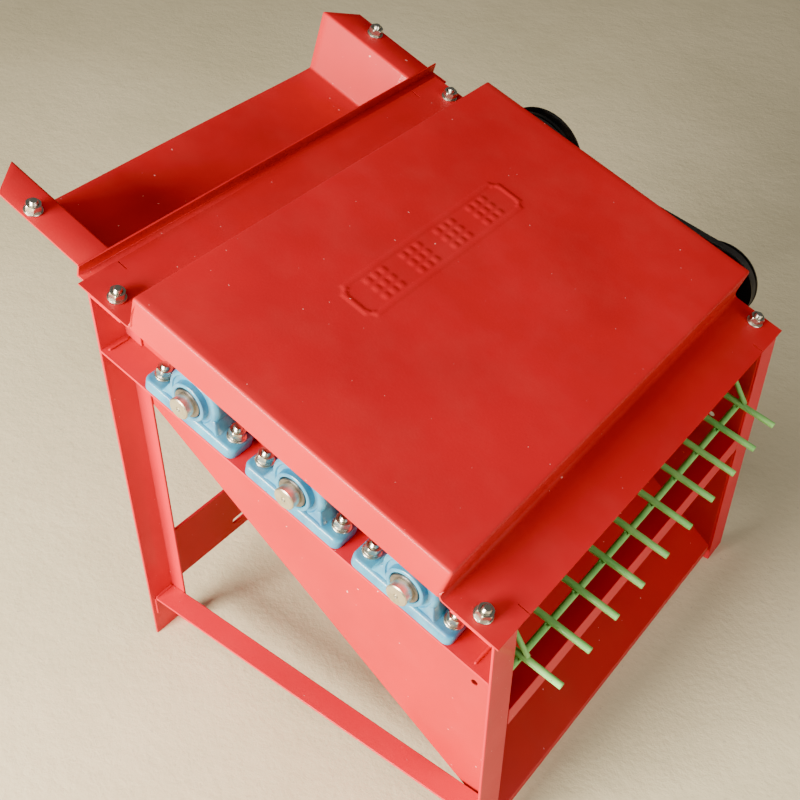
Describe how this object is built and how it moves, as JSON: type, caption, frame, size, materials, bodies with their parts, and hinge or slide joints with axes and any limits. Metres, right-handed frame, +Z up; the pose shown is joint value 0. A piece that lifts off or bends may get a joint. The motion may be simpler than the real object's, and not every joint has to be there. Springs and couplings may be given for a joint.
{
  "type": "corn sheller",
  "caption": "Motor-ready corn sheller: feed tray, sloping lid, studded rollers on pillow blocks, rod grate and kernel chute on an angle frame.",
  "frame": {"origin": "centre of the box around the machine, on the floor", "axes": "+X from the feed tray to the discharge, +Y from the plain side to the belt side, +Z up"},
  "size_m": [0.733, 0.67, 0.6243],
  "materials": {
    "frame_paint": "gloss enamel on angle steel",
    "sheet_paint": "gloss enamel on folded sheet",
    "lid_paint": "gloss enamel on the bent lid",
    "housing_paint": "light blue enamel on cast iron",
    "zinc_fasteners": "bright zinc plate",
    "nipple_steel": "zinc plated, worn",
    "race_steel": "ground bearing steel",
    "ball_steel": "polished bearing steel",
    "seal_rubber": "satin nitrile",
    "shaft_steel": "turned bright bar",
    "drum_steel": "mill scale and weld, worn",
    "pulley_iron": "black painted cast iron",
    "key_steel": "bright key steel",
    "belt_rubber": "matt wrapped V-belt",
    "grate_paint": "green enamel on round bar"
  },
  "bodies": {
    "frame": {"feed_leg_near": "frame_paint", "feed_leg_far": "frame_paint", "discharge_leg_near": "frame_paint", "discharge_leg_far": "frame_paint", "lower_rail_near": "frame_paint", "lower_rail_far": "frame_paint", "bearing_rail_near": "frame_paint", "bearing_rail_far": "frame_paint", "side_panel_near": "sheet_paint", "side_panel_far": "sheet_paint", "motor_crossbar": "frame_paint", "discharge_crossmember": "frame_paint", "lid_seat_tabs": "frame_paint", "chute_floor": "sheet_paint", "feed_end_plate": "sheet_paint", "feed_tray": "sheet_paint", "inlet_header": "sheet_paint", "lid": "lid_paint", "bearing_bolts": "zinc_fasteners", "bearing_nuts": "zinc_fasteners", "bearing_spring_washers": "zinc_fasteners", "bearing_flat_washers": "zinc_fasteners", "cover_bolts": "zinc_fasteners", "cover_nuts": "zinc_fasteners", "cover_washers": "zinc_fasteners", "housing_1_near": "housing_paint", "housing_1_far": "housing_paint", "housing_2_near": "housing_paint", "housing_2_far": "housing_paint", "housing_3_near": "housing_paint", "housing_3_far": "housing_paint", "outer_rings": "race_steel", "bearing_balls": "ball_steel", "bearing_seals": "seal_rubber", "grease_nipples": "nipple_steel", "belt_1_2": "belt_rubber", "belt_2_3": "belt_rubber", "grate_rods": "grate_paint", "grate_cross_rods": "grate_paint", "grate_hangers": "grate_paint"},
    "roller_1": {"roller_shaft_1": "shaft_steel", "roller_drum_1": "drum_steel", "roller_teeth_1": "drum_steel", "pulley_1": "pulley_iron", "pulley_key_1": "key_steel", "inner_rings_1": "race_steel"},
    "roller_2": {"roller_shaft_2": "shaft_steel", "roller_drum_2": "drum_steel", "roller_teeth_2": "drum_steel", "pulley_2": "pulley_iron", "pulley_key_2": "key_steel", "inner_rings_2": "race_steel"},
    "roller_3": {"roller_shaft_3": "shaft_steel", "roller_drum_3": "drum_steel", "roller_teeth_3": "drum_steel", "pulley_3": "pulley_iron", "pulley_key_3": "key_steel", "inner_rings_3": "race_steel"}
  },
  "joints": [
    {"name": "roller_1_spin", "type": "hinge", "parent": "frame", "child": "roller_1", "pos_m": [-0.05842, -0.014, 0.4767], "axis": [0, 1, 0], "continuous": true},
    {"name": "roller_2_spin", "type": "hinge", "parent": "frame", "child": "roller_2", "pos_m": [0.08075, -0.014, 0.436], "axis": [0, 1, 0], "continuous": true},
    {"name": "roller_3_spin", "type": "hinge", "parent": "frame", "child": "roller_3", "pos_m": [0.21992, -0.014, 0.3953], "axis": [0, 1, 0], "continuous": true}
  ],
  "couplings": [
    {"joint": "roller_2_spin", "follows": "roller_1_spin", "ratio": 1.625},
    {"joint": "roller_3_spin", "follows": "roller_1_spin", "ratio": 1.2264}
  ]
}
